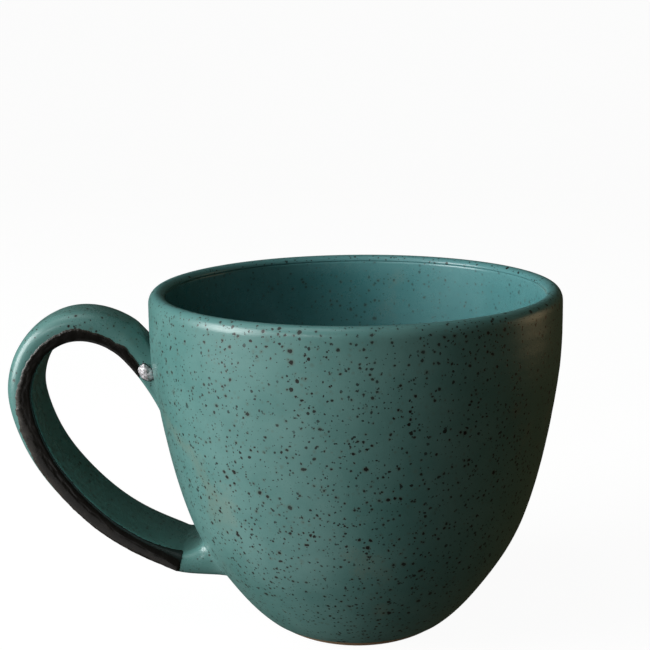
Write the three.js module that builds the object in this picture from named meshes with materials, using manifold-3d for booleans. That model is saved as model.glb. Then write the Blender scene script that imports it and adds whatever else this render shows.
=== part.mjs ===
// Hand-thrown stoneware mug: a clay cup on a small bare foot, a pulled strap handle luted on
// at two places, and the glaze coats fired on to them.
// Millimetres, +Z up. The origin is on the cup's axis, in the plane of the foot.
// The handle stands towards -X, in the XZ plane.
import * as THREE from 'three';
import { mergeVertices } from 'three/addons/utils/BufferGeometryUtils.js';
import Module from 'manifold-3d';

// ---- Cup ----
const CUP_HEIGHT = 86.5;
const RIM_RADIUS = 50.25;
const FOOT_RADIUS = 17.4;
const WALL = 4;
const FLOOR = 6.5;
const LIP_ROUND = 2.8; // height of the lip's outer rounding
const LIP_CREST = 1.9; // the lip's highest ring stands this far outside the inner rim
const LIP_ANGLES = [30, 60, 90]; // where the rounding is divided, from level to the crest
const LIP_BREAK_DROP = 1.5; // the two coats meet this far below the top, inside the lip
const GLAZE_LINE = 1.3; // bare clay below this height
const UNDERCUT = 0.9; // the bare foot's flare: radius gained for each millimetre of height
const TURNS = 48; // facets round the axis
const OUTER_STEPS = 13; // divisions of the outer wall
const INNER_STEPS = 11; // divisions of the inside

// ---- Handle ----
const UPPER_JOINT_DROP = 23; // the upper root, below the rim
const LOWER_JOINT_HEIGHT = 15.6; // the lower root, above the foot
const ROOT_DEPTH = 7; // the handle's line starts this far inside the wall
const HANDLE_REACH = 39.1; // how far the bow stands out from the line between the roots
const HANDLE_RISE = 14.7; // how far the crown of the bow rises above the upper root
const STRAP_WIDTH_TOP = 12.4;
const STRAP_WIDTH_END = 23.2;
const STRAP_THICK_TOP = 6.5;
const STRAP_THICK_END = 3.6;
const STRAP_EDGE = 1.9; // rounding of the outer arrises
const STRAP_HOLLOW = 0.35; // depth of the hollow along the inner face
const UPPER_FLARE = { width: 3.4, thick: 6.4, length: 2.6 }; // growth at the wall, fading outwards
const LOWER_FLARE = { width: 2.2, thick: 3.4, length: 3.2 };
const STATIONS = 32;
const SEAM = 2; // stations of each joint that stand clear of the wall

// ---- Coats ----
const GLAZE = 0.5;
const BAND = 0.45; // thickness of the dark coat over the handle's near edge
const NEAR_EDGE = 9; // first point of a section under the dark coat
const GAP = 0.3; // clearance where one piece is cut to fit another
const POOL = { width: 2.6, depth: 2.3, length: 3.6 };
const POOL_SHIFT = [3, -0.2, 1]; // from the inner arris of the last buried station, towards the wall

// Shape of the wall: [share of the height up to the lip, share of the radius between foot and rim].
const WALL_CURVE = [
  [0, 0], [0.018, 0.11], [0.079, 0.296], [0.181, 0.499], [0.304, 0.687],
  [0.448, 0.818], [0.611, 0.912], [0.796, 0.984], [0.9, 1], [1, 0.999],
];
// Shape of the inside: [share of the depth, share of the inner rim radius].
const INSIDE_CURVE = [
  [0, 0], [0.006, 0.24], [0.044, 0.465], [0.118, 0.628], [0.254, 0.785],
  [0.41, 0.877], [0.59, 0.938], [0.79, 0.987], [1, 1],
];
// Shape of the bow: [share of the way down from root to root, share of the reach, share of the rise].
const BOW_CURVE = [
  [0, 0, 0], [0, 0.138, 0.16], [0, 0.23, 0.403], [0, 0.322, 0.68], [0, 0.437, 0.888],
  [0, 0.573, 1], [0, 0.714, 0.983], [0, 0.846, 0.815], [0, 0.947, 0.513], [0, 1.001, 0.129],
  [0.087, 1.039, 0], [0.323, 1.038, 0], [0.53, 0.952, 0], [0.705, 0.81, 0], [0.84, 0.613, 0],
  [0.93, 0.369, 0], [0.969, 0.197, 0], [1, 0, 0],
];

const CLAY = { color: 0x8a6f4e, roughness: 0.9, metalness: 0 };
const TEAL = { color: 0x5f8f8c, roughness: 0.32, metalness: 0 };
const TEAL_INSIDE = { color: 0x4f7f80, roughness: 0.28, metalness: 0 };
const DARK = { color: 0x1d1a17, roughness: 0.3, metalness: 0.2 };
const POOLED = { color: 0x8f8c8e, roughness: 0.15, metalness: 0.5 };

const wasm = await Module();
wasm.setup();

function vec2(points) {
  return points.map(([x, y]) => new THREE.Vector2(x, y));
}

// ---- Solids ----
function toSolid(geometry) {
  const bare = geometry.clone();
  bare.deleteAttribute('normal');
  bare.deleteAttribute('uv');
  const merged = mergeVertices(bare, 1e-5);
  const mesh = new wasm.Mesh({
    numProp: 3,
    vertProperties: new Float32Array(merged.attributes.position.array),
    triVerts: new Uint32Array(merged.index.array),
  });
  return new wasm.Manifold(mesh);
}

function toGeometry(solid) {
  const mesh = solid.getMesh();
  const geometry = new THREE.BufferGeometry();
  geometry.setAttribute('position', new THREE.BufferAttribute(new Float32Array(mesh.vertProperties), 3));
  geometry.setIndex(new THREE.BufferAttribute(new Uint32Array(mesh.triVerts), 1));
  geometry.computeVertexNormals();
  return geometry;
}

function cut(geometry, ...tools) {
  let solid = toSolid(geometry);
  for (const tool of tools) {
    solid = solid.subtract(toSolid(tool));
  }
  return toGeometry(solid);
}

function piece(name, geometry, finish) {
  const mesh = new THREE.Mesh(geometry, new THREE.MeshStandardMaterial(finish));
  mesh.name = name;
  return mesh;
}

// A profile of [radius, height] points turned about Z.
function turn(points) {
  const geometry = new THREE.LatheGeometry(points, TURNS);
  geometry.rotateX(Math.PI / 2);
  return geometry;
}

// ---- Profiles of the cup ----
const wallLine = new THREE.SplineCurve(vec2(WALL_CURVE.map(([up, out]) => [
  FOOT_RADIUS + (RIM_RADIUS - FOOT_RADIUS) * out,
  (CUP_HEIGHT - LIP_ROUND) * up,
])));

const innerRim = RIM_RADIUS - WALL;
const insideLine = new THREE.SplineCurve(vec2(INSIDE_CURVE.map(([up, out]) => [
  innerRim * out,
  FLOOR + (CUP_HEIGHT - LIP_BREAK_DROP - FLOOR) * up,
])));

// Each point moved along the curve's normal: positive to the right of the direction of travel.
function offset(points, distance) {
  return points.map((point, i) => {
    const before = points[Math.max(i - 1, 0)];
    const after = points[Math.min(i + 1, points.length - 1)];
    const along = after.clone().sub(before).normalize();
    return new THREE.Vector2(point.x + along.y * distance, point.y - along.x * distance);
  });
}

// The outer wall from the glaze line up, and over the lip to its crest.
function outerSurface() {
  const wall = wallLine.getSpacedPoints(OUTER_STEPS).filter((point) => point.y > GLAZE_LINE);
  const top = wall[wall.length - 1];
  const crest = innerRim + LIP_CREST;
  const lip = LIP_ANGLES.map((angle) => {
    const a = THREE.MathUtils.degToRad(angle);
    return new THREE.Vector2(
      crest + (top.x - crest) * Math.cos(a),
      top.y + (CUP_HEIGHT - top.y) * Math.sin(a),
    );
  });
  const foot = new THREE.Vector2(FOOT_RADIUS + GLAZE_LINE * UNDERCUT, GLAZE_LINE);
  return [foot, ...wall, ...lip];
}

const outer = outerSurface();
const inner = insideLine.getSpacedPoints(INNER_STEPS).reverse();
const breakPoint = inner[0];
const whole = [...outer, ...inner];
const clayWhole = offset(whole, -GLAZE);
clayWhole[whole.length - 1].set(0, FLOOR - GLAZE);
const outerClay = clayWhole.slice(0, outer.length + 1);
const innerClay = clayWhole.slice(outer.length);

// Radius of the glazed wall at a height.
function wallRadius(height) {
  for (let i = 1; i < outer.length; i += 1) {
    const a = outer[i - 1];
    const b = outer[i];
    if (height <= b.y) {
      return a.x + ((b.x - a.x) * (height - a.y)) / (b.y - a.y);
    }
  }
  return RIM_RADIUS;
}

// Everything inside the outer wall, filled to the axis and grown by a clearance. It runs on past the
// foot and the lip, so that its ends never meet a piece that it cuts.
function filledCup(grow) {
  const wall = offset(outer.slice(0, outer.length - LIP_ANGLES.length), grow);
  const low = new THREE.Vector2(wall[0].x, -WALL);
  const high = new THREE.Vector2(wall[wall.length - 1].x, CUP_HEIGHT + WALL);
  return turn([new THREE.Vector2(0, low.y), low, ...wall, high, new THREE.Vector2(0, high.y)]);
}

function cupBody() {
  const base = [new THREE.Vector2(0, 0), new THREE.Vector2(FOOT_RADIUS, 0)];
  return turn([...base, ...clayWhole]);
}

function outsideCoat(handleTool) {
  const back = [...outerClay].reverse();
  const ring = [...outer, breakPoint, ...back];
  return cut(turn([...ring, ring[0].clone()]), handleTool);
}

function insideCoat() {
  return turn([...[...innerClay].reverse(), ...inner]);
}

// ---- Handle ----
const upperHeight = CUP_HEIGHT - UPPER_JOINT_DROP;
const upperRoot = new THREE.Vector2(wallRadius(upperHeight) - ROOT_DEPTH, upperHeight);
const lowerRoot = new THREE.Vector2(wallRadius(LOWER_JOINT_HEIGHT) - ROOT_DEPTH, LOWER_JOINT_HEIGHT);
const bowLine = new THREE.SplineCurve(BOW_CURVE.map(([down, out, up]) => new THREE.Vector2(
  THREE.MathUtils.lerp(upperRoot.x, lowerRoot.x, down) + HANDLE_REACH * out,
  THREE.MathUtils.lerp(upperRoot.y, lowerRoot.y, down) + HANDLE_RISE * up,
)));
// How far a point of the handle's line stands out from the wall.
function clearOfWall(point) {
  return Math.max(point.x - wallRadius(point.y), 0);
}

// The strap's size at a station: it widens and thins downwards, and flares where it meets the wall.
function strapSize(station) {
  const share = station / STATIONS;
  const flare = share < 0.5 ? UPPER_FLARE : LOWER_FLARE;
  const grown = Math.exp(-clearOfWall(bowLine.getPointAt(share)) / flare.length);
  const width = THREE.MathUtils.lerp(STRAP_WIDTH_TOP, STRAP_WIDTH_END, share);
  const thick = THREE.MathUtils.lerp(STRAP_THICK_TOP, STRAP_THICK_END, share);
  return { width: width + flare.width * grown, thick: thick + flare.thick * grown };
}

// Cross-section as [side, out] points: the hollow inner face first, then the two rounded arrises.
function strapSection(station, grow) {
  const { width, thick } = strapSize(station);
  const w = width / 2 + grow;
  const t = thick / 2 + grow;
  const edge = Math.min(STRAP_EDGE + grow, t);
  const points = [[-w, -t], [-w / 2, -t + STRAP_HOLLOW], [w / 2, -t + STRAP_HOLLOW], [w, -t]];
  const arc = [0, 30, 60, 90].map((angle) => THREE.MathUtils.degToRad(angle));
  for (const a of arc) {
    points.push([w - edge + edge * Math.cos(a), t - edge + edge * Math.sin(a)]);
  }
  for (const a of arc.reverse()) {
    points.push([-w + edge - edge * Math.cos(a), t - edge + edge * Math.sin(a)]);
  }
  return points;
}

// The near edge of the strap, from the inner arris (point 0) round on to the outer face.
function edgeSection(station) {
  const over = strapSection(station, GLAZE + BAND);
  const under = strapSection(station, GLAZE);
  return [...over.slice(NEAR_EDGE), over[0], under[0], ...under.slice(NEAR_EDGE).reverse()];
}

// A section set square to the handle's line.
function place(section, station) {
  const share = station / STATIONS;
  const point = bowLine.getPointAt(share);
  const along = bowLine.getTangentAt(share);
  return section.map(([side, out]) => [
    -(point.x - along.y * out),
    side,
    point.y + along.x * out,
  ]);
}

// Whether the whole section, with its coats, stands outside the glazed wall.
function standsClear(station) {
  const ring = place(strapSection(station, GLAZE + BAND), station);
  return ring.every(([x, y, z]) => Math.hypot(x, y) > wallRadius(z) + GAP);
}

const clearStations = Array.from({ length: STATIONS + 1 }, (_, i) => i).filter(standsClear);
const firstClear = clearStations[0];
const lastClear = clearStations[clearStations.length - 1];
const upperSeam = firstClear + SEAM;
const lowerSeam = lastClear - SEAM;

// Rings of equal size joined by side walls. Each wall is split along one of its two diagonals:
// swapped(ring, point) picks the other one, so that a face laid against another matches it.
function joinRings(rings, closed, caps, swapped) {
  const count = rings[0].length;
  const total = rings.length;
  const index = [...caps];
  for (let i = 0; i < (closed ? total : total - 1); i += 1) {
    const here = i * count;
    const next = ((i + 1) % total) * count;
    for (let j = 0; j < count; j += 1) {
      const k = (j + 1) % count;
      if (swapped(i, j)) {
        index.push(here + j, next + j, here + k, next + j, next + k, here + k);
      } else {
        index.push(here + j, next + k, here + k, here + j, next + j, next + k);
      }
    }
  }
  const geometry = new THREE.BufferGeometry();
  geometry.setAttribute('position', new THREE.Float32BufferAttribute(rings.flat(2), 3));
  geometry.setIndex(index);
  geometry.computeVertexNormals();
  return geometry;
}

// A solid along the handle's line between two stations, with flat ends.
function strapSolid(section, first, last, swapped = () => false) {
  const rings = [];
  for (let station = first; station <= last; station += 1) {
    rings.push(place(section(station), station));
  }
  const outline = (station) => THREE.ShapeUtils.triangulateShape(vec2(section(station)), []);
  const shift = (rings.length - 1) * rings[0].length;
  const start = outline(first).flatMap(([a, b, c]) => [a, b, c]);
  const end = outline(last).flatMap(([a, b, c]) => [a + shift, c + shift, b + shift]);
  return joinRings(rings, false, [...start, ...end], swapped);
}

function wholeStrap(grow) {
  return strapSolid((station) => strapSection(station, grow), 0, STATIONS);
}

function clayStrap(first, last) {
  return strapSolid((station) => strapSection(station, 0), first, last);
}

// The coat over strap and joints: outer rings down the handle, then the clay's rings back up.
function strapCoat() {
  const over = [];
  const under = [];
  for (let station = 0; station <= STATIONS; station += 1) {
    over.push(place(strapSection(station, GLAZE), station));
    under.unshift(place(strapSection(station, 0), station));
  }
  return joinRings([...over, ...under], true, [], (ring) => ring > STATIONS);
}

// The dark coat over the near edge: the second half of its section lies on the strap's coat.
function darkBand() {
  const half = edgeSection(firstClear).length / 2;
  return strapSolid(edgeSection, firstClear, lowerSeam, (ring, point) => point >= half);
}

// A drop of the dark coat, caught between the upper joint and the wall.
function pool() {
  const drop = new THREE.SphereGeometry(1, 16, 10);
  drop.scale(POOL.width, POOL.depth, POOL.length);
  const station = firstClear - 1;
  const [arris] = place(strapSection(station, GLAZE + BAND), station);
  drop.translate(...arris.map((value, i) => value + POOL_SHIFT[i]));
  return cut(drop, wholeStrap(GLAZE + BAND + GAP), filledCup(GAP));
}

// ---- The mug ----
const mug = new THREE.Group();
const clayCore = filledCup(GAP - GLAZE);
mug.add(
  piece('cup_body', cupBody(), CLAY),
  piece('outside_glaze', outsideCoat(wholeStrap(GAP)), TEAL),
  piece('inside_glaze', insideCoat(), TEAL_INSIDE),
  piece('upper_joint', cut(clayStrap(0, upperSeam), clayCore), CLAY),
  piece('handle_strap', clayStrap(upperSeam, lowerSeam), CLAY),
  piece('lower_joint', cut(clayStrap(lowerSeam, STATIONS), clayCore), CLAY),
  piece('handle_glaze', cut(strapCoat(), filledCup(GAP)), TEAL),
  piece('dark_glaze_band', darkBand(), DARK),
  piece('glaze_pool', pool(), POOLED),
);

export default mug;
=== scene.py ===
"""A hand-thrown stoneware mug: bare foot, blue-green glaze inside and out, and a pulled strap handle
with a dark coat along one edge. Every size is in metres; the cup stands on z = 0."""
import math

import bpy
import numpy as np
from bpy.props import FloatProperty, FloatVectorProperty, IntProperty, PointerProperty
from mathutils import Matrix, Vector, noise


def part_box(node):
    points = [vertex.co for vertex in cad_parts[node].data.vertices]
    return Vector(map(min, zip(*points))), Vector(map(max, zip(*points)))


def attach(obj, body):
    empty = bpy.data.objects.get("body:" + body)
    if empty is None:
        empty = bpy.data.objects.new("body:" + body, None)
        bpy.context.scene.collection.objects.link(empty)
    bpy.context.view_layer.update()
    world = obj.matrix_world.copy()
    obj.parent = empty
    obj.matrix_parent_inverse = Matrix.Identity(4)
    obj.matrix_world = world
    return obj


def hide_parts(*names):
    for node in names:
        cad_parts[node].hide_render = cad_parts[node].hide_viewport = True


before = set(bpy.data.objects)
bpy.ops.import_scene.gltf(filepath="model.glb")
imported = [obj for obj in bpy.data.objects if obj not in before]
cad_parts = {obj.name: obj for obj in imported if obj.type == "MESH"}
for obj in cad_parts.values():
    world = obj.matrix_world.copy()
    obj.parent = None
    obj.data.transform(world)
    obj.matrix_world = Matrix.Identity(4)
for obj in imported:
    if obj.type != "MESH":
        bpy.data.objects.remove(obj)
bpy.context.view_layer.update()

bl_info = {
    "name": "Stoneware Mug",
    "version": (1, 0, 0),
    "blender": (4, 5, 0),
    "location": "View3D > Sidebar > Mug",
    "description": "Builds a glazed stoneware mug round its packed frame",
    "category": "Add Mesh",
}

MM = 0.001
COAT_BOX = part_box("outside_glaze")
BAND_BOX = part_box("dark_glaze_band")
FOOT_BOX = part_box("cup_body")
CUP_HEIGHT = COAT_BOX[1][2]
RIM_RADIUS = COAT_BOX[1][1]
INNER_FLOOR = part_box("inside_glaze")[0][2]

# Wall: [share of the height up to the lip, share of the radius between foot and rim].
WALL_CURVE = (
    (0, 0), (0.018, 0.11), (0.079, 0.296), (0.181, 0.499), (0.304, 0.687),
    (0.448, 0.818), (0.611, 0.912), (0.796, 0.984), (0.9, 1), (1, 0.999),
)
# Inside: [share of the depth, share of the inner rim's radius].
INSIDE_CURVE = (
    (0, 0), (0.001, 0.12), (0.008, 0.27), (0.044, 0.465), (0.118, 0.628), (0.254, 0.785),
    (0.41, 0.877), (0.59, 0.938), (0.79, 0.985), (0.93, 0.999), (1, 1),
)
# Bow: [share of the way down from root to root, share of the reach, share of the rise].
BOW_CURVE = (
    (0, 0, 0), (0, 0.138, 0.16), (0, 0.23, 0.403), (0, 0.322, 0.68), (0, 0.437, 0.888),
    (0, 0.573, 1), (0, 0.714, 0.983), (0, 0.846, 0.815), (0, 0.947, 0.513), (0, 1.001, 0.129),
    (0.087, 1.039, 0), (0.323, 1.038, 0), (0.53, 0.952, 0), (0.705, 0.81, 0), (0.84, 0.613, 0),
    (0.93, 0.369, 0), (0.969, 0.197, 0), (1, 0, 0),
)


class MugSizes(bpy.types.PropertyGroup):
    """Sizes of the cup and its handle"""

    turns: IntProperty(name="Turns", description="Faces round the cup", default=256, min=24)
    foot_radius: FloatProperty(
        name="Foot radius", description="Flat bare foot", default=0.0174, unit="LENGTH")
    wall: FloatProperty(
        name="Wall", description="Thickness of the wall at the lip", default=0.0040, unit="LENGTH")
    lip_round: FloatProperty(
        name="Lip rounding", description="Height of the lip's outer rounding", default=0.0028,
        unit="LENGTH")
    lip_crest: FloatProperty(
        name="Lip crest", description="The highest ring stands this far outside the inner rim",
        default=0.0019, unit="LENGTH")
    coat: FloatProperty(
        name="Coat", description="Thickness of the glaze", default=0.0005, unit="LENGTH")
    glaze_line: FloatProperty(
        name="Glaze line", description="Bare clay below this height", default=0.0038, unit="LENGTH")
    bare_step: FloatProperty(
        name="Step to the clay", description="The bare clay lies this far under the coat's surface",
        default=0.00012, unit="LENGTH")
    break_drop: FloatProperty(
        name="Break drop", description="The coats meet this far below the top", default=0.0015,
        unit="LENGTH")
    wobble: FloatProperty(
        name="Wobble", description="How far the thrown wall strays from round", default=0.00016,
        unit="LENGTH")
    ridge: FloatProperty(
        name="Throwing ridges", description="Height of the finger ridges", default=0.00006,
        unit="LENGTH")
    root_drop: FloatProperty(
        name="Upper root", description="Below the rim", default=0.0230, unit="LENGTH")
    root_height: FloatProperty(
        name="Lower root", description="Above the foot", default=0.0156, unit="LENGTH")
    root_depth: FloatProperty(
        name="Root depth", description="How deep the bow's line starts in the wall",
        default=0.007, unit="LENGTH")
    reach: FloatProperty(
        name="Reach", description="How far the bow stands out", default=0.0391, unit="LENGTH")
    rise: FloatProperty(
        name="Rise", description="How far the bow's crown stands over its root", default=0.0147,
        unit="LENGTH")
    strap_width: FloatVectorProperty(
        name="Strap width", description="At the upper and the lower end", size=2,
        default=(0.0134, 0.0242), unit="LENGTH")
    strap_thick: FloatVectorProperty(
        name="Strap thickness", description="At the upper and the lower end", size=2,
        default=(0.0075, 0.0046), unit="LENGTH")
    arris: FloatProperty(
        name="Outer arris", description="Rounding of the strap's outer edges", default=0.0033,
        unit="LENGTH")
    inner_arris: FloatProperty(
        name="Inner arris", description="Rounding of the strap's inner edges", default=0.0010,
        unit="LENGTH")
    hollow: FloatProperty(
        name="Hollow", description="Depth of the groove along the strap's inner face",
        default=0.0004, unit="LENGTH")
    band: FloatProperty(
        name="Dark coat", description="Thickness of the dark coat", default=0.00028, unit="LENGTH")


class MugColours(bpy.types.PropertyGroup):
    """Colours of clay and glaze"""

    light: FloatVectorProperty(
        name="Light glaze", description="Where the coat is thin", subtype="COLOR", size=3,
        default=(0.135, 0.275, 0.258), min=0, max=1)
    deep: FloatVectorProperty(
        name="Deep glaze", description="Where the coat is thick", subtype="COLOR", size=3,
        default=(0.078, 0.205, 0.192), min=0, max=1)
    inner_light: FloatVectorProperty(
        name="Light inside", description="Inside, where the coat is thin", subtype="COLOR", size=3,
        default=(0.108, 0.28, 0.29), min=0, max=1)
    inner_deep: FloatVectorProperty(
        name="Deep inside", description="Inside, where the coat is thick", subtype="COLOR", size=3,
        default=(0.055, 0.21, 0.22), min=0, max=1)
    sand: FloatVectorProperty(
        name="Sand", description="Where the clay shows through", subtype="COLOR", size=3,
        default=(0.30, 0.225, 0.135), min=0, max=1)
    speck: FloatVectorProperty(
        name="Speck", description="Iron specks", subtype="COLOR", size=3,
        default=(0.008, 0.005, 0.004), min=0, max=1)
    rust: FloatVectorProperty(
        name="Rust", description="Soft rims of the specks", subtype="COLOR", size=3,
        default=(0.10, 0.060, 0.028), min=0, max=1)
    dark: FloatVectorProperty(
        name="Dark coat", description="The coat along the handle's edge", subtype="COLOR", size=3,
        default=(0.0075, 0.0066, 0.0062), min=0, max=1)
    clay: FloatVectorProperty(
        name="Clay", description="Bare fired clay", subtype="COLOR", size=3,
        default=(0.36, 0.22, 0.12), min=0, max=1)


def sizes():
    return bpy.context.scene.mug_sizes


def colours():
    return bpy.context.scene.mug_colours


# ---- Curves ----
def spline(points, count, dense=1600):
    """A natural cubic curve through the points, in even steps of its length."""
    points = np.array(points, float)
    knots = np.concatenate([[0], np.cumsum(np.linalg.norm(np.diff(points, axis=0), axis=1) ** 0.5)])
    step = np.diff(knots)
    last = len(points) - 1
    system = np.eye(last + 1)
    right = np.zeros_like(points)
    for i in range(1, last):
        system[i, i - 1], system[i, i], system[i, i + 1] = step[i - 1], 2 * (step[i - 1] + step[i]), step[i]
        right[i] = 6 * ((points[i + 1] - points[i]) / step[i] - (points[i] - points[i - 1]) / step[i - 1])
    bend = np.linalg.solve(system, right)
    at = np.linspace(0, knots[-1], dense)
    i = np.clip(np.searchsorted(knots, at, side="right") - 1, 0, last - 1)
    h, a, b = step[i][:, None], (knots[i + 1] - at)[:, None], (at - knots[i])[:, None]
    curve = (bend[i] * a ** 3 + bend[i + 1] * b ** 3) / (6 * h)
    curve += (points[i] / h - bend[i] * h / 6) * a + (points[i + 1] / h - bend[i + 1] * h / 6) * b
    return even(curve, count)


def even(curve, count):
    """The same line with its points in even steps of its length."""
    length = np.concatenate([[0], np.cumsum(np.linalg.norm(np.diff(curve, axis=0), axis=1))])
    at = np.linspace(0, length[-1], count)
    return np.stack([np.interp(at, length, curve[:, k]) for k in range(curve.shape[1])], axis=1)


def shifted(line, distance):
    """The line moved to the right of its direction of travel."""
    along = np.gradient(line, axis=0)
    along /= np.linalg.norm(along, axis=1)[:, None] + 1e-12
    return line + distance * np.stack([along[:, 1], -along[:, 0]], axis=1)


def cup_lines():
    """Outer and inner surface of the glazed cup, each as [radius, height] points."""
    s = sizes()
    inner_rim = RIM_RADIUS - s.wall
    crest = inner_rim + s.lip_crest
    straight_up = CUP_HEIGHT - s.lip_round
    wall = [(s.foot_radius + (RIM_RADIUS - s.foot_radius) * out, straight_up * up) for up, out in WALL_CURVE]
    side = spline(wall, 260)
    top = side[-1]
    turn = np.radians(np.linspace(0, 90, 12))[1:]
    lip = np.stack([crest + (top[0] - crest) * np.cos(turn), top[1] + s.lip_round * np.sin(turn)], axis=1)
    down = np.radians([110, 130, 155])
    fall = np.stack(
        [crest + s.lip_crest * np.cos(down), CUP_HEIGHT - s.break_drop * (1 - np.sin(down))], axis=1)
    depth = CUP_HEIGHT - s.break_drop - INNER_FLOOR
    inside = [(inner_rim * out, INNER_FLOOR + s.coat + depth * up - s.coat * up) for up, out in INSIDE_CURVE]
    inner = spline(inside, 240)[::-1]
    outer = spline(np.vstack([side[::6], lip, fall, inner[:1]]), 330)
    return outer, inner


# ---- Node trees as plain expressions ----
class Wire:
    """An output socket that can be added, scaled and compared."""

    def __init__(self, net, socket):
        self.net = net
        self.socket = socket

    def maths(self, operation, *others):
        values = {i: v for i, v in enumerate((self, *others))}
        return self.net.node("ShaderNodeMath", {"operation": operation}, values)

    def __add__(self, other):
        return self.maths("ADD", other)

    __radd__ = __add__

    def __mul__(self, other):
        return self.maths("MULTIPLY", other)

    __rmul__ = __mul__

    def __sub__(self, other):
        return self.maths("SUBTRACT", other)

    def __rsub__(self, other):
        return self.net.node("ShaderNodeMath", {"operation": "SUBTRACT"}, {0: other, 1: self})

    def __truediv__(self, other):
        return self.maths("DIVIDE", other)

    def __pow__(self, other):
        return self.maths("POWER", other)

    def above(self, other):
        return self.maths("GREATER_THAN", other)

    def most(self, other):
        return self.maths("MAXIMUM", other)

    def least(self, other):
        return self.maths("MINIMUM", other)


class Net:
    """Adds nodes to a tree, with settings made before the sockets are filled."""

    def __init__(self, tree):
        self.tree = tree

    def node(self, kind, settings=None, values=None, out=0):
        made = self.tree.nodes.new(kind)
        for key, value in (settings or {}).items():
            setattr(made, key, value)
        for key, value in (values or {}).items():
            if isinstance(value, Wire):
                self.tree.links.new(value.socket, made.inputs[key])
            else:
                made.inputs[key].default_value = value
        return Wire(self, made.outputs[out]) if len(made.outputs) else made

    def other(self, wire, out):
        return Wire(self, wire.socket.node.outputs[out])

    def step(self, value, low, high):
        """0 at low, 1 at high, smooth between; low may be above high."""
        return self.node(
            "ShaderNodeMapRange", {"interpolation_type": "SMOOTHSTEP"},
            {"Value": value, "From Min": low, "From Max": high})

    def blend(self, share, first, second):
        return self.node(
            "ShaderNodeMix", {"data_type": "RGBA"}, {0: share, 6: colour(first), 7: colour(second)}, 2)

    def shift(self, operation, first, second):
        return self.node("ShaderNodeVectorMath", {"operation": operation}, {0: first, 1: second})

    def scaled(self, vector, factor):
        return self.node("ShaderNodeVectorMath", {"operation": "SCALE"}, {0: vector, "Scale": factor})

    def noise(self, at, scale, detail=2.0, rough=0.5, out=0):
        return self.node(
            "ShaderNodeTexNoise", None,
            {"Vector": at, "Scale": scale, "Detail": detail, "Roughness": rough}, out)


def colour(value):
    if isinstance(value, Wire):
        return value
    return (*value[:3], 1.0)


# ---- Materials ----
def material(name):
    """A new material with its Principled shader and the object's own coordinates in millimetres."""
    made = bpy.data.materials.new(name)
    made.use_nodes = True
    net = Net(made.node_tree)
    shader = made.node_tree.nodes["Principled BSDF"]
    place = net.node("ShaderNodeTexCoord", None, None, 3)
    return made, net, shader, net.scaled(place, 1000.0)


def feed(net, shader, **inputs):
    names = {"tint": "Base Color", "rough": "Roughness", "metal": "Metallic", "normal": "Normal"}
    for key, value in inputs.items():
        socket = shader.inputs[names[key]]
        if isinstance(value, Wire):
            net.tree.links.new(value.socket, socket)
        else:
            socket.default_value = value


def bump(net, height, distance, strength):
    return net.node(
        "ShaderNodeBump", None, {"Height": height, "Distance": distance, "Strength": strength})


def specks(net, at, cell, small, large, chance):
    """Iron specks of uneven size scattered through the glaze: their cores, and their soft rims."""
    cells = net.node(
        "ShaderNodeTexVoronoi", {"feature": "F1"}, {"Vector": at, "Scale": 1 / cell, "Randomness": 1.0})
    tint = net.other(cells, 1)
    split = net.node("ShaderNodeSeparateColor", None, {0: tint})
    pick, size = split, net.other(split, 1)
    radius = (small + (large - small) * size * size) / cell
    present = pick.above(1 - chance)
    core = net.step(cells, radius, radius * 0.86) * present
    rim = net.step(cells, radius * 2.1, radius * 0.8) * present
    return core, rim, net.other(split, 2)


def radius_of(net, at):
    parts = net.node("ShaderNodeSeparateXYZ", None, {0: at})
    x, y, z = parts, net.other(parts, 1), net.other(parts, 2)
    return (x * x + y * y) ** 0.5, x, y, z


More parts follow.
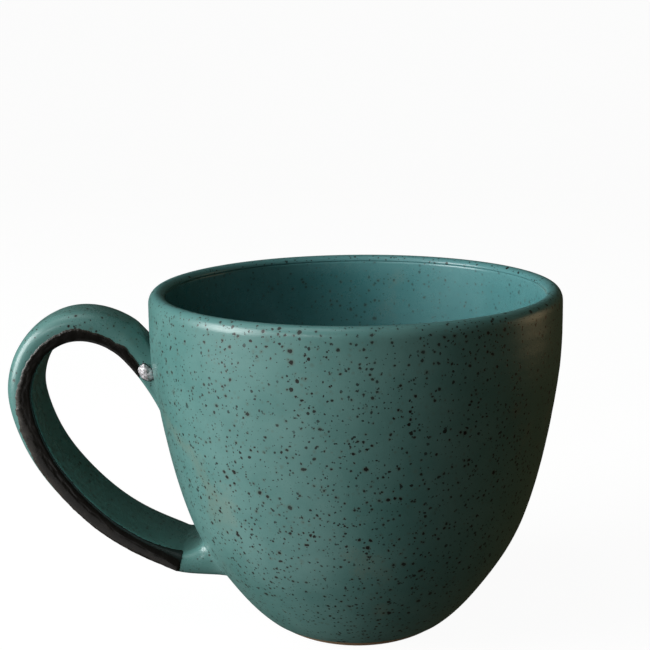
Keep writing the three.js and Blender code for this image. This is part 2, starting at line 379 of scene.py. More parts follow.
def glaze(name, density=1.0, thin=None, edge=None, polish=0.30, inside=False, streak=False):
    """Satin glaze with specks; thin is an attribute that is 1 where the coat breaks to clay,
    and edge is the [radius, height] in millimetres of the ring where two coats meet."""
    c = colours()
    made, net, shader, at = material(name)
    cloud = net.noise(at, 0.035, 3.0)
    patch = net.noise(at, 0.16, 4.0, 0.6)
    grain = net.noise(at, 3.2, 3.0, 0.7)
    light, deep = (c.inner_light, c.inner_deep) if inside else (c.light, c.deep)
    tint = net.blend(net.step(cloud * 0.6 + patch * 0.4, 0.28, 0.74), light, deep)
    tint = net.blend(net.step(grain, 0.35, 0.75) * 0.22, tint, light)
    drift = net.noise(net.shift("ADD", at, (31.0, 7.0, 12.0)), 0.05, 5.0, 0.62)
    sandy = net.step(drift, 0.60, 0.74) * net.step(grain, 0.3, 0.7)
    tint = net.blend(sandy * 0.34, tint, c.sand)
    # specks
    wander = net.noise(at, 1.1, 4.0, 0.6, 1)
    warped = net.shift("ADD", at, net.scaled(net.shift("SUBTRACT", wander, (0.5, 0.5, 0.5)), 0.75))
    dense = net.step(net.noise(at, 0.09, 2.0), 0.30, 0.66)
    cores, rims = [], []
    for cell, small, large, chance in (
            (2.4, 0.30, 0.56, 0.62 * density), (1.35, 0.23, 0.40, 0.84 * density),
            (0.92, 0.12, 0.23, 0.85 * density)):
        core, rim, luck = specks(net, warped, cell, small, large, chance)
        fade = 0.80 + 0.20 * dense
        cores.append(core * fade * net.step(luck, -0.5, 0.3))
        rims.append(rim * fade * net.step(luck, 0.15, 0.9))
    core = cores[0].most(cores[1]).most(cores[2])
    rim = rims[0].most(rims[1])
    tint = net.blend(rim * 0.34, tint, c.rust)
    bare = None
    radius, x, y, height = radius_of(net, at)
    if edge is not None:
        across = radius - edge[0]
        down = height - edge[1]
        far = (across * across + down * down) ** 0.5
        ragged = (patch - 0.5) * 1.1 + (grain - 0.5) * 0.5
        tint = net.blend(net.step(far, 4.5, 0.4), tint, c.inner_light)
        bare = net.step(far + ragged * 0.35, 0.8, 0.2) * net.step(y, 12.0, -20.0) * 0.5
    if streak:
        turn = y.maths("ARCTAN2", x) * (180 / math.pi)
        middle = net.step(height, 45.0, 63.0) * 22.0 + 137.0
        beside = ((turn + middle) * 0.13 + (patch - 0.5) * 4.0 + (drift - 0.5) * 2.0).maths("ABSOLUTE")
        run = net.step(height, 30.0, 42.0) * net.step(height, 64.0, 55.0)
        bare = bare.most(net.step(beside, 1.0, 0.0) * run * (grain * 0.2 + 0.06))
    if thin is not None:
        worn = net.node("ShaderNodeAttribute", {"attribute_name": thin}, None, 2)
        ragged = (net.noise(at, 0.5, 3.0) - 0.5) * 0.9
        bare = net.step(worn + ragged, 0.45, 1.0) * 0.85
    if bare is not None:
        tint = net.blend(bare, tint, c.sand)
    if inside:
        core = core * 0.55
        # Painted shade: the inner coat is darkened towards the handle's side (negative x), where the inside of the cup
        # lies in shade.
        tint = net.blend(net.step(x, 5.0, -42.0) * 0.5, tint, (0.012, 0.095, 0.105))
    tint = net.blend(core, tint, c.speck)
    rough = polish + (patch - 0.5) * 0.12 + core * 0.12 + (grain - 0.5) * 0.06
    skin = net.noise(at, 0.9, 2.0) * 0.5 + grain * 0.16 - core * 0.35
    feed(net, shader, tint=tint, rough=rough, normal=bump(net, skin, 0.00006, 0.55))
    return made


def dark_glaze(name):
    """Near-black coat with a brown, worn upper rim; the attribute edge runs to 1 at that rim."""
    c = colours()
    made, net, shader, at = material(name)
    patch = net.noise(at, 0.35, 4.0, 0.6)
    grain = net.noise(at, 2.2, 3.0, 0.7)
    rim = net.node("ShaderNodeAttribute", {"attribute_name": "edge"}, None, 2)
    streaks = net.noise(net.shift("MULTIPLY", at, (1.0, 3.0, 1.0)), 0.9, 4.0, 0.7)
    tint = net.blend(net.step(patch, 0.45, 0.75) * 0.4, c.dark, (0.013, 0.011, 0.0095))
    _, _, _, height = radius_of(net, at)
    low = net.step(height, 78.0, 62.0) * 0.75 + 0.25
    worn = net.step(rim + (patch - 0.5) * 0.9 + (streaks - 0.5) * 0.7, 0.62, 1.1) * low
    tint = net.blend(worn * 0.28, tint, (0.060, 0.044, 0.034))
    crust = net.step(rim + (grain - 0.5) * 0.3, 0.82, 1.0)
    tint = net.blend(crust * 0.5, tint, (0.10, 0.085, 0.07))
    glint = net.step(grain, 0.62, 0.80) * net.step(patch, 0.4, 0.6)
    tint = net.blend(glint * 0.3, tint, (0.12, 0.10, 0.085))
    rough = 0.22 + (patch - 0.5) * 0.2 + worn * 0.3
    feed(net, shader, tint=tint, rough=rough, normal=bump(net, grain * 0.5 + patch, 0.0001, 0.6))
    return made


def pooled_glaze(name):
    """The wrinkled silvery drop."""
    made, net, shader, at = material(name)
    patch = net.noise(at, 1.1, 4.0, 0.65)
    # Pale patches: part the drop's own silvery tone, part painted reflection, with pale base colour in place of the
    # bright reflections of its silvery surface.
    tint = net.blend(net.step(patch, 0.35, 0.7), (0.85, 0.80, 0.84), (0.22, 0.19, 0.19))
    rim = net.node("ShaderNodeAttribute", {"attribute_name": "edge"}, None, 2)
    tint = net.blend(net.step(rim, 0.45, 0.85), tint, colours().dark)
    metal = net.step(patch, 0.75, 0.35) * 0.3
    feed(net, shader, tint=tint, rough=0.16 + patch * 0.2, metal=metal, normal=bump(net, patch, 0.0003, 0.8))
    return made


def bare_clay(name):
    """Unglazed stoneware: gritty, with darker iron grains."""
    c = colours()
    made, net, shader, at = material(name)
    patch = net.noise(at, 0.3, 4.0, 0.6)
    grain = net.noise(at, 4.0, 4.0, 0.75)
    core, rim, _ = specks(net, at, 1.4, 0.08, 0.26, 0.5)
    tint = net.blend(net.step(patch, 0.3, 0.7) * 0.6, c.clay, (0.44, 0.29, 0.17))
    tint = net.blend(net.step(grain, 0.4, 0.8) * 0.35, tint, (0.10, 0.055, 0.025))
    tint = net.blend(core * 0.9, tint, c.speck)
    rough = 0.82 + (grain - 0.5) * 0.2
    feed(net, shader, tint=tint, rough=rough, normal=bump(net, grain + core * 0.4, 0.00016, 0.8))
    return made


def pale_floor(name):
    made, net, shader, at = material(name)
    patch = net.noise(at, 0.01, 3.0)
    tint = net.blend(net.step(patch, 0.3, 0.7), (0.07, 0.07, 0.07), (0.06, 0.06, 0.06))
    feed(net, shader, tint=tint, rough=0.9)
    shader.inputs["Emission Color"].default_value = (1, 1, 1, 1)
    shader.inputs["Emission Strength"].default_value = 0.955
    return made


# ---- Meshes ----
def link(name, mesh):
    made = bpy.data.objects.new(name, mesh)
    bpy.context.scene.collection.objects.link(made)
    return made


def smooth(mesh):
    mesh.polygons.foreach_set("use_smooth", [True] * len(mesh.polygons))
    mesh.update()


def rings_mesh(name, rings, caps=True):
    """A skin over rings of equal size, with a fan at each end."""
    rows, count = rings.shape[:2]
    points = [tuple(p) for p in rings.reshape(-1, 3)]
    faces = []
    for i in range(rows - 1):
        for j in range(count):
            k = (j + 1) % count
            faces.append((i * count + j, (i + 1) * count + j, (i + 1) * count + k, i * count + k))
    if caps:
        for row, flip in ((0, False), (rows - 1, True)):
            centre = len(points)
            points.append(tuple(rings[row].mean(axis=0)))
            for j in range(count):
                k = (j + 1) % count
                a, b = row * count + j, row * count + k
                faces.append((a, b, centre) if not flip else (b, a, centre))
    mesh = bpy.data.meshes.new(name)
    mesh.from_pydata(points, [], faces)
    smooth(mesh)
    return mesh


def face_out(mesh):
    """Turns the faces of a closed mesh outwards if they point in."""
    volume = 0.0
    for face in mesh.polygons:
        corners = [mesh.vertices[i].co for i in face.vertices]
        for i in range(1, len(corners) - 1):
            volume += corners[0].dot(corners[i].cross(corners[i + 1]))
    if volume < 0:
        mesh.flip_normals()
    return mesh


def turning_tree():
    """Turns a profile line about the Z axis, with the small faults of a thrown wall."""
    tree = bpy.data.node_groups.new("Turned on the wheel", "GeometryNodeTree")
    face = tree.interface
    for kind, label in (
            ("NodeSocketGeometry", "Profile"), ("NodeSocketInt", "Turns"), ("NodeSocketInt", "Rows"),
            ("NodeSocketFloat", "Wobble"), ("NodeSocketFloat", "Ridge"), ("NodeSocketFloat", "Reach"),
            ("NodeSocketFloat", "Seed"), ("NodeSocketMaterial", "Material")):
        face.new_socket(label, in_out="INPUT", socket_type=kind)
    face.new_socket("Geometry", in_out="OUTPUT", socket_type="NodeSocketGeometry")
    net = Net(tree)
    given = net.node("NodeGroupInput")
    profile, turns, rows = given, net.other(given, 1), net.other(given, 2)
    wobble, ridge, reach = (net.other(given, i) for i in (3, 4, 5))
    seed, finish = net.other(given, 6), net.other(given, 7)
    line = net.node("GeometryNodeMeshToCurve", None, {0: profile})
    grid = net.node(
        "GeometryNodeMeshGrid", None,
        {"Size X": 1.0, "Size Y": 1.0, "Vertices X": turns + 1, "Vertices Y": rows})
    spot = net.node("GeometryNodeInputPosition")
    parts = net.node("ShaderNodeSeparateXYZ", None, {0: spot})
    angle = (parts + 0.5) * (2 * math.pi)
    share = net.other(parts, 1) + 0.5
    sampled = net.node(
        "GeometryNodeSampleCurve", {"mode": "FACTOR", "use_all_curves": True},
        {"Curves": line, "Factor": share.least(1.0).most(0.0)}, 1)
    found = net.node("ShaderNodeSeparateXYZ", None, {0: sampled})
    radius, height = found, net.other(found, 2)
    cosine, sine = angle.maths("COSINE"), angle.maths("SINE")
    around = net.node("ShaderNodeCombineXYZ", None, {0: cosine, 1: sine, 2: height * 14.0 + seed})
    stray = net.node("ShaderNodeTexNoise", None, {"Vector": around, "Scale": 0.9, "Detail": 1.0})
    spiral = net.node(
        "ShaderNodeCombineXYZ", None,
        {0: cosine * 0.12, 1: sine * 0.12, 2: height * 420.0 + angle * (1 / (2 * math.pi)) + seed})
    ring = net.node("ShaderNodeTexNoise", None, {"Vector": spiral, "Scale": 0.5, "Detail": 1.0})
    # the base stays flat and true, and the faults grow with the radius
    share_out = radius / reach
    moved = radius + share_out * ((stray - 0.5) * wobble * 2.0 + (ring - 0.5) * ridge * 2.0)
    target = net.node("ShaderNodeCombineXYZ", None, {0: moved * cosine, 1: moved * sine, 2: height})
    shaped = net.node("GeometryNodeSetPosition", None, {"Geometry": grid, "Position": target})
    closed = net.node("GeometryNodeMergeByDistance", None, {"Geometry": shaped, "Distance": 2e-6})
    soft = net.node("GeometryNodeSetShadeSmooth", None, {"Geometry": closed})
    whole = net.node("GeometryNodeRealizeInstances", None, {"Geometry": soft})
    dressed = net.node("GeometryNodeSetMaterial", None, {"Geometry": whole, "Material": finish})
    net.node("NodeGroupOutput", None, {0: dressed})
    return tree


def turned(name, line, finish, wobble=0.0, ridge=0.0, turns=None):
    """A piece turned from a closed profile, as a plain mesh."""
    tree = bpy.data.node_groups.get("Turned on the wheel") or turning_tree()
    profile = bpy.data.meshes.new(name + "_profile")
    points = [(r, 0.0, z) for r, z in line]
    profile.from_pydata(points, [(i, i + 1) for i in range(len(points) - 1)], [])
    made = link(name, profile)
    modifier = made.modifiers.new("Turning", "NODES")
    modifier.node_group = tree
    values = {
        "Turns": turns or sizes().turns, "Rows": len(points), "Wobble": wobble, "Ridge": ridge,
        "Reach": RIM_RADIUS, "Seed": 3.7, "Material": finish}
    for item in tree.interface.items_tree:
        if item.item_type == "SOCKET" and item.in_out == "INPUT" and item.name in values:
            modifier[item.identifier] = values[item.name]
    bpy.context.view_layer.update()
    graph = bpy.context.evaluated_depsgraph_get()
    mesh = bpy.data.meshes.new_from_object(made.evaluated_get(graph))
    made.modifiers.remove(modifier)
    made.data = mesh
    mesh.name = name
    if not mesh.polygons:
        raise RuntimeError(name + " came out empty")
    return made


def finished(piece, slot, *nodes):
    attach(piece, "root")
    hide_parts(*nodes)


# ---- Cup ----
def cup_pieces():
    s = sizes()
    outer, inner = cup_lines()
    whole = np.vstack([outer, inner[1:]])
    clay = shifted(whole, -s.coat)
    clay[-1] = (0.0, inner[-1][1] - s.coat)
    over = int(np.argmax(outer[:, 1]))
    start = int(np.argmax(outer[:, 1] > s.glaze_line))
    meet = len(outer) - 1
    ring_mm = (outer[meet][0] * 1000, outer[meet][1] * 1000)
    # clay: flat foot, bevel, wall, lip, inside, floor
    edge = s.foot_radius
    foot = np.array([(0.0, 0.0), (edge * 0.5, 0.0), (edge - 0.0006, 0.0), (edge, 0.0001)])
    bare = shifted(outer, -s.bare_step)[2:start]
    body = np.vstack([foot, bare, clay[start + 2:]])
    made = turned("cup_clay", body, bare_clay("bare clay"), s.wobble, s.ridge)
    finished(made, "bare_clay", "cup_body")
    # outer coat: a rounded lower edge, the wall, over the lip and back under
    skin = np.insert(outer[start:], -1, outer[-1] * 0.97 + outer[-2] * 0.03, axis=0)
    under = clay[start:meet + 1][::-1]
    roll = np.array([(skin[0][0] - 0.0003, skin[0][1] - 0.00022)])
    coat = np.vstack([skin, under, roll, skin[:1]])
    made = turned("outer_coat", coat, glaze("outside glaze", edge=ring_mm, streak=True), s.wobble, s.ridge)
    finished(made, "outside_glaze", "outside_glaze")
    first = inner[:1] * 0.97 + inner[1:2] * 0.03
    liner = np.vstack([clay[meet:][::-1], inner[:1], first, inner[1:]])
    made = turned("inner_coat", liner, glaze("inside glaze", 0.6, edge=ring_mm, polish=0.28, inside=True), s.wobble, s.ridge)
    finished(made, "inside_glaze", "inside_glaze")


# ---- Handle ----
NEAR_SIDE, OUTER_ARC, OUTER_FACE, INNER_ARC, INNER_FACE = 9, 9, 13, 5, 15
SECTION_SIZE = 2 * NEAR_SIDE + 2 * OUTER_ARC + OUTER_FACE + 2 * INNER_ARC + INNER_FACE


def arc(centre, radius, start, end, count):
    turn = np.radians(np.linspace(start, end, count + 2)[1:-1])
    return np.stack([centre[0] + radius * np.cos(turn), centre[1] + radius * np.sin(turn)], axis=1)


def straight(first, last, count):
    return np.linspace(first, last, count)


def section(width, thick, share):
    """[side, out] points of the strap: near side, outer face, far side, hollow inner face."""
    s = sizes()
    w, t = width / 2, thick / 2
    small = s.inner_arris * (1 + 0.6 * share ** 3 + 1.5 * share ** 24)
    big = min(s.arris, thick - small - 0.0002)
    crown = 0.00025
    near = straight((-w, -t + small), (-w, t - big), NEAR_SIDE)
    first = arc((-w + big, t - big), big, 180, 90, OUTER_ARC)
    span = np.linspace(-w + big, w - big, OUTER_FACE)
    face = np.stack([span, t + crown * (1 - (span / (w - big)) ** 2)], axis=1)
    second = arc((w - big, t - big), big, 90, 0, OUTER_ARC)
    far = straight((w, t - big), (w, -t + small), NEAR_SIDE)
    third = arc((w - small, -t + small), small, 0, -90, INNER_ARC)
    span = np.linspace(w - small, -w + small, INNER_FACE)
    groove = np.stack([span, -t + s.hollow * (1 - (span / (w - small)) ** 2)], axis=1)
    fourth = arc((-w + small, -t + small), small, -90, -180, INNER_ARC)
    return np.vstack([near, first, face, second, far, third, groove, fourth])


def wall_radius(height, outer):
    top = int(np.argmax(outer[:, 0]))
    return np.interp(height, outer[:top, 1], outer[:top, 0])


def bow_line(outer, count=260):
    s = sizes()
    high, low = CUP_HEIGHT - s.root_drop, s.root_height
    upper = np.array([wall_radius(high, outer) - s.root_depth, high])
    lower = np.array([wall_radius(low, outer) - s.root_depth, low])
    points = [upper + (lower - upper) * down + (s.reach * out, s.rise * up) for down, out, up in BOW_CURVE]
    return spline(points, count)


# Where the strap runs out on the wall: lowest and highest point, spread of the width, the height of
# the strap's clear end, and how far the fillet runs below, above and beside.
UPPER_ROOT = {"low": 0.0545, "high": 0.0735, "spread": 1.12, "clear": 0.0062, "pull": (0.009, 0.002, 0.003)}
LOWER_ROOT = {"low": 0.0152, "high": 0.0252, "spread": 1.08, "clear": 0.0080, "pull": (0.002, 0.007, 0.005)}


def root_rings(ring, heading, shape, root, outer, rows, upper):
    """Rings that leave the strap's last clear ring and run out smoothly on to the cup's wall."""
    thick = shape[:, 1].max() - shape[:, 1].min()
    share = (shape[:, 1] - shape[:, 1].min()) / thick
    if not upper:
        share = 1 - share
    height = root["low"] + (root["high"] - root["low"]) * share
    radius = wall_radius(height, outer)
    turn = shape[:, 0] * root["spread"] / radius
    sink = 0.0004
    end = np.stack([-(radius - sink) * np.cos(turn), (radius - sink) * np.sin(turn), height], axis=1)
    middle = (root["low"] + root["high"]) / 2
    up = (height - middle) / (root["high"] - middle)
    side = shape[:, 0] / np.abs(shape[:, 0]).max()
    slope = (wall_radius(height + 0.0005, outer) - wall_radius(height - 0.0005, outer)) / 0.001
    climb = np.stack([-slope * np.cos(turn), slope * np.sin(turn), np.ones_like(turn)], axis=1)
    climb /= np.linalg.norm(climb, axis=1)[:, None]
    aside = np.stack([np.sin(turn), np.cos(turn), np.zeros_like(turn)], axis=1)
    below, above, beside = root["pull"]
    reach = np.where(up > 0, above, below) * up
    leave = climb * reach[:, None] + aside * (beside * side ** 3)[:, None]
    gap = np.linalg.norm(end - ring, axis=1)[:, None]
    start = heading * gap * 0.9
    at = np.linspace(0, 1, rows + 1)[1:, None, None]
    a, b = 2 * at ** 3 - 3 * at ** 2 + 1, at ** 3 - 2 * at ** 2 + at
    c, d = -2 * at ** 3 + 3 * at ** 2, at ** 3 - at ** 2
    return a * ring + b * start + c * end + d * leave


def handle_rings():
    """The glazed handle as one grid of points [along, around], with its outward normals."""
    s = sizes()
    outer, _ = cup_lines()
    line = bow_line(outer)
    along = np.gradient(line, axis=0)
    along /= np.linalg.norm(along, axis=1)[:, None]
    clear = line[:, 0] - wall_radius(line[:, 1], outer)
    half = len(line) // 2
    first = int(np.argmax(clear[:half] > UPPER_ROOT["clear"]))
    last = half + int(np.argmax(clear[half:] < LOWER_ROOT["clear"]))
    rings = []
    shapes = []
    for i in range(first, last + 1):
        share = (i - first) / (last - first)
        width = s.strap_width[0] + (s.strap_width[1] - s.strap_width[0]) * share
        thick = s.strap_thick[0] + (s.strap_thick[1] - s.strap_thick[0]) * share
        shape = section(width, thick, share)
        tangent, point = along[i], line[i]
        x = -(point[0] - tangent[1] * shape[:, 1])
        z = point[1] + tangent[0] * shape[:, 1]
        rings.append(np.stack([x, shape[:, 0], z], axis=1))
        shapes.append(shape)
    back = np.array([along[first][0], 0.0, -along[first][1]])
    onward = np.array([-along[last][0], 0.0, along[last][1]])
    top = root_rings(rings[0], back, shapes[0], UPPER_ROOT, outer, 26, True)[::-1]
    low = root_rings(rings[-1], onward, shapes[-1], LOWER_ROOT, outer, 20, False)
    grid = np.concatenate([top, np.array(rings), low])
    return grid, grid_normals(grid)


def grid_normals(grid):
    around = np.roll(grid, -1, axis=1) - np.roll(grid, 1, axis=1)
    along = np.gradient(grid, axis=0)
    normal = np.cross(along, around)
    normal /= np.linalg.norm(normal, axis=2)[:, :, None] + 1e-12
    outward = grid - grid.mean(axis=1)[:, None, :]
    if (normal * outward).sum() < 0:
        normal = -normal
    return normal


def sample(grid, along, around):
    """A point of a grid at shares of its length and steps of its section."""
    rows, count = grid.shape[:2]
    i = np.clip(along, 0, 1) * (rows - 1)
    i0 = np.minimum(i.astype(int), rows - 2)
    j0 = np.floor(around).astype(int)
    fi, fj = (i - i0)[..., None], (around - j0)[..., None]
    j0, j1 = j0 % count, (j0 + 1) % count
    near = grid[i0, j0] * (1 - fj) + grid[i0, j1] * fj
    next_row = grid[i0 + 1, j0] * (1 - fj) + grid[i0 + 1, j1] * fj
    return near * (1 - fi) + next_row * fi


def handle_pieces():
    grid, normals = handle_rings()
    rows = len(grid)
    mesh = face_out(rings_mesh("handle_coat", grid))
    # the coat breaks to clay on the crisp inner arrises
    thin = np.zeros(SECTION_SIZE)
    inner_far = 2 * NEAR_SIDE + 2 * OUTER_ARC + OUTER_FACE
    for centre, weight in ((inner_far + INNER_ARC / 2, 0.9), (SECTION_SIZE - INNER_ARC / 2, 0.2)):
        steps = np.abs((np.arange(SECTION_SIZE) - centre + SECTION_SIZE / 2) % SECTION_SIZE - SECTION_SIZE / 2)
        thin = np.maximum(thin, weight * np.clip(1.3 - steps / (INNER_ARC * 0.75), 0, 1))
    fade = np.clip(np.minimum(np.arange(rows) - 20, rows - 22 - np.arange(rows)) / 14.0, 0, 1)
    values = np.concatenate([(fade[:, None] * thin[None, :]).ravel(), [0.0, 0.0]])
    layer = mesh.attributes.new("thin", "FLOAT", "POINT")
    layer.data.foreach_set("value", values)
    mesh.materials.append(glaze("handle glaze", 0.45, thin="thin", polish=0.28))
    finished(link("handle_coat", mesh), "outside_glaze", "handle_glaze")
    # the clay under it
    clay = grid - normals * sizes().coat
    cuts = (0, 34, rows - 30, rows - 1)
    for name, node, a, b in (
            ("upper_root_clay", "upper_joint", cuts[0], cuts[1]),
            ("strap_clay", "handle_strap", cuts[1], cuts[2]),
            ("lower_root_clay", "lower_joint", cuts[2], cuts[3])):
        inner = face_out(rings_mesh(name, clay[a:b + 1]))
        inner.materials.append(bpy.data.materials.get("bare clay") or bare_clay("bare clay"))
        finished(link(name, inner), "bare_clay", node)


# Dark coat: [share of the handle's length, lower edge and upper edge in steps of the section].
BAND_EDGE = (
    (0.040, -3.5, 2.2), (0.060, -3.7, 3.6), (0.084, -3.8, 5.4), (0.118, -3.8, 4.5), (0.151, -3.8, 4.3),
    (0.185, -3.8, 6.2), (0.218, -3.8, 6.6), (0.252, -3.8, 6.2), (0.286, -3.8, 5.7), (0.319, -3.8, 6.2),
    (0.353, -3.8, 7.4), (0.387, -3.8, 8.8), (0.420, -3.8, 10.2), (0.454, -3.8, 11.6), (0.487, -3.8, 12.2),
    (0.521, -3.8, 12.8), (0.555, -3.8, 13.6), (0.588, -3.8, 14.4), (0.655, -4.0, 15.4), (0.700, -4.2, 16.0),
    (0.756, -4.6, 17.0), (0.790, -5.0, 17.0), (0.824, -5.3, 17.0), (0.857, -5.8, 16.5), (0.910, -6.6, 16.0),
    (0.930, -6.6, 16.0),
)
BAND_SPAN = (0.066, 0.921)


def band_piece():
    s = sizes()
    grid, normals = handle_rings()
    rows, across = 900, 30
    along = np.linspace(*BAND_SPAN, rows)
    table = np.array(BAND_EDGE)
    lower = np.interp(along, table[:, 0], table[:, 1])
    upper = np.interp(along, table[:, 0], table[:, 2])
    ragged = np.array([
        noise.noise(Vector((a * 38, 4.1, 0))) * 0.9 + noise.noise(Vector((a * 110, 9.3, 0))) * 0.55
        + noise.noise(Vector((a * 330, 2.7, 0))) * 0.25 for a in along])
    upper = upper + ragged * 1.5
    lower = lower + 0.35 * ragged
    share = np.linspace(0, 1, across)
    around = lower[:, None] + (upper - lower)[:, None] * share[None, :]
    spread = np.repeat(along[:, None], across, axis=1)
    base = sample(grid, spread, around)
    lift = sample(normals, spread, around)
    lift /= np.linalg.norm(lift, axis=2)[:, :, None]
    edge = np.minimum(np.minimum(share, 1 - share)[None, :] * 6.0, 1.0)
    ends = np.minimum(np.minimum(along - along[0], along[-1] - along) / 0.006, 1.0)[:, None]
    rise = np.sqrt(np.clip(edge * ends, 0, 1))
    bumps = np.array([[noise.noise(Vector((a * 60, b * 5, 3.3))) for b in share] for a in along])
    height = s.band * rise * (1 + 0.25 * bumps) - 0.00006
    over = base + lift * height[:, :, None]
    under = base - lift * 0.0003
    rings = np.concatenate([over, under[:, ::-1]], axis=1)
    mesh = face_out(rings_mesh("dark_band", rings))
    rim = np.concatenate([np.repeat(share[None, :], rows, axis=0), np.repeat(share[None, ::-1], rows, axis=0)], axis=1)
    values = np.concatenate([rim.ravel(), [0.0, 0.0]])
    mesh.attributes.new("edge", "FLOAT", "POINT").data.foreach_set("value", values)
    mesh.materials.append(dark_glaze("dark glaze"))
    finished(link("dark_band", mesh), "dark_glaze", "dark_glaze_band")


def drop_piece():
    """The drop of dark coat under the upper joint."""
    grid, normals = handle_rings()
    along, around = 0.0500, 5.6
    centre = sample(grid, np.array([along]), np.array([around]))[0]
    out = sample(normals, np.array([along]), np.array([around]))[0]
    down = sample(grid, np.array([along - 0.02]), np.array([around]))[0] - centre
    down = down / np.linalg.norm(down)
    side = np.cross(out, down)
    rows, count = 48, 72
    rings = []
    for i in range(1, rows):
        tilt = math.pi * i / rows
        ring = []
        for j in range(count):
            turn = 2 * math.pi * j / count
            way = Vector((math.sin(tilt) * math.cos(turn), math.sin(tilt) * math.sin(turn), math.cos(tilt)))
            swell = 1 + 0.16 * noise.noise(way * 1.7) + 0.10 * noise.noise(way * 4.5 + Vector((5, 1, 2)))
            a, b, c = way * swell
            ring.append(centre + side * (a * 0.0017) + out * (b * 0.0010) + down * (c * 0.0024))
        rings.append(ring)
    rings = np.array(rings)
    mesh = face_out(rings_mesh("pooled_drop", rings))
    proud = ((rings - centre) @ out).ravel() / 0.001
    values = np.concatenate([np.clip(1 - proud, 0, 1), [1.0, 1.0]])
    mesh.attributes.new("edge", "FLOAT", "POINT").data.foreach_set("value", values)
    mesh.materials.append(pooled_glaze("pooled glaze"))
    finished(link("pooled_drop", mesh), "pooled_glaze", "glaze_pool")


# ---- Stage ----
VIEW = {
    "turn": -1.16, "pitch": 17.79, "distance": 0.32886, "roll": 0.45, "lens": 72.0,
    "aim": 0.04248, "offset": (0.02411, 0.10187),
}


def add_camera():
    """The camera looks a little above the mug, so that the mug stands low in the frame."""
    turn, pitch = math.radians(VIEW["turn"]), math.radians(VIEW["pitch"])
    back = Vector((math.sin(turn) * math.cos(pitch), -math.cos(turn) * math.cos(pitch), math.sin(pitch)))
    aim = Vector((0, 0, VIEW["aim"]))
    base = (-back).to_track_quat("-Z", "Y").to_matrix()
    spin = Matrix.Rotation(-math.radians(VIEW["roll"]), 3, "Z")
    right, down = VIEW["offset"]
    swing = Vector((0, 0, -1)).rotation_difference(Vector((right, -down, -1)).normalized()).to_matrix()
    lens = bpy.data.cameras.new("Camera")
    lens.sensor_width = 36
    lens.lens = VIEW["lens"]
    lens.clip_start, lens.clip_end = 0.01, 20
    camera = link("Camera", lens)
    camera.rotation_mode = "QUATERNION"
    camera.location = aim + back * VIEW["distance"]
    camera.rotation_quaternion = (base @ spin @ swing.inverted()).to_quaternion()
    bpy.context.scene.camera = camera


def add_light(name, place, target, size, power, tint):
    lamp = bpy.data.lights.new(name, "AREA")
    lamp.shape = "RECTANGLE"
    lamp.size, lamp.size_y = size
    lamp.energy = power
    lamp.color = tint
    made = link(name, lamp)
    made.location = place
    aim = Vector(target) - Vector(place)
    made.rotation_mode = "QUATERNION"
    made.rotation_quaternion = aim.to_track_quat("-Z", "Y")
    return made


def add_world():
    world = bpy.data.worlds.new("Studio")
    world.use_nodes = True
    net = Net(world.node_tree)
    for old in list(world.node_tree.nodes):
        world.node_tree.nodes.remove(old)
    seen = net.node("ShaderNodeLightPath")
    fill = net.node("ShaderNodeBackground", None, {"Color": (1.0, 0.86, 0.48, 1), "Strength": 0.026})
    white = net.node("ShaderNodeBackground", None, {"Color": (1, 1, 1, 1), "Strength": 1.0})
    mixed = net.node("ShaderNodeMixShader", None, {0: seen, 1: fill, 2: white})
    net.node("ShaderNodeOutputWorld", None, {0: mixed})
    bpy.context.scene.world = world


def studio():
    add_camera()
    add_world()
    add_light("Window", (-0.89, -0.29, 0.33), (0, 0, 0.05), (0.56, 0.6), 11.8, (0.96, 1.0, 1.0))
    add_light("Side strip", (-0.48, -0.78, 0.40), (0, 0, 0.06), (0.36, 0.05), 0.8, (0.94, 1.0, 1.0))
    add_light("Ceiling", (-0.35, -0.2, 1.0), (0, 0, 0.05), (0.6, 0.6), 1.8, (0.90, 1.0, 0.98))
    add_light("Bounce", (-0.5, -0.3, -0.3), (0, 0, 0.04), (0.9, 0.9), 1.0, (1.0, 1.0, 1.0))
    add_light("Warm fill", (0.68, 0.18, 0.1), (0, 0, 0.05), (0.3, 0.3), 0.35, (1.0, 0.72, 0.42))
    reach, bend, high = 1.1, 0.7, 1.6
    sweep = [(0.0, 0.0), (0.3, 0.0), (0.7, 0.0)]
    sweep += [(reach + bend * math.sin(a), bend - bend * math.cos(a)) for a in np.linspace(0, math.pi / 2, 24)]
    sweep.append((reach + bend, high))
    floor = turned("studio_floor", sweep, pale_floor("pale floor"), turns=96)
    floor.visible_diffuse = False
    floor.visible_glossy = False
    floor.visible_shadow = False
    bpy.context.scene.view_settings.view_transform = "Standard"


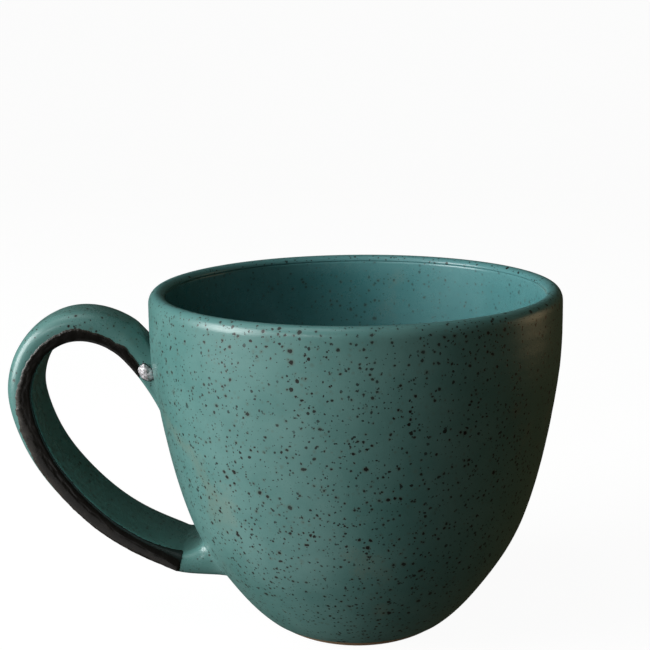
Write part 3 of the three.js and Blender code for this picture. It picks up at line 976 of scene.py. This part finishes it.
# ---- Operators ----
class MUG_OT_cup(bpy.types.Operator):
    """Turn the clay cup and its two coats"""

    bl_idname = "mug.cup"
    bl_label = "Cup and its coats"

    def execute(self, context):
        cup_pieces()
        return {"FINISHED"}


class MUG_OT_handle(bpy.types.Operator):
    """Sweep the strap handle and run its roots out on the wall"""

    bl_idname = "mug.handle"
    bl_label = "Handle and its coat"

    def execute(self, context):
        handle_pieces()
        return {"FINISHED"}


class MUG_OT_band(bpy.types.Operator):
    """Lay the dark coat along the handle's near edge"""

    bl_idname = "mug.band"
    bl_label = "Dark coat"

    def execute(self, context):
        band_piece()
        return {"FINISHED"}


class MUG_OT_drop(bpy.types.Operator):
    """Hang the pooled drop under the upper joint"""

    bl_idname = "mug.drop"
    bl_label = "Pooled drop"

    def execute(self, context):
        drop_piece()
        return {"FINISHED"}


class MUG_OT_stage(bpy.types.Operator):
    """Set up floor, light and camera"""

    bl_idname = "mug.stage"
    bl_label = "Studio"

    def execute(self, context):
        studio()
        return {"FINISHED"}


STEPS = (MUG_OT_cup, MUG_OT_handle, MUG_OT_band, MUG_OT_drop, MUG_OT_stage)


class MUG_PT_panel(bpy.types.Panel):
    """Lists the mug's pieces in the order in which they are made"""

    bl_label = "Stoneware mug"
    bl_idname = "MUG_PT_panel"
    bl_space_type = "VIEW_3D"
    bl_region_type = "UI"
    bl_category = "Mug"

    def draw(self, context):
        for step in STEPS:
            self.layout.operator(step.bl_idname)


CLASSES = (MugSizes, MugColours, *STEPS, MUG_PT_panel)


def register():
    for kind in CLASSES:
        bpy.utils.register_class(kind)
    bpy.types.Scene.mug_sizes = PointerProperty(type=MugSizes)
    bpy.types.Scene.mug_colours = PointerProperty(type=MugColours)


def unregister():
    del bpy.types.Scene.mug_colours
    del bpy.types.Scene.mug_sizes
    for kind in reversed(CLASSES):
        bpy.utils.unregister_class(kind)


def main():
    register()
    for step in STEPS:
        group, name = step.bl_idname.split(".")
        getattr(getattr(bpy.ops, group), name)()


if __name__ == "__main__":
    main()
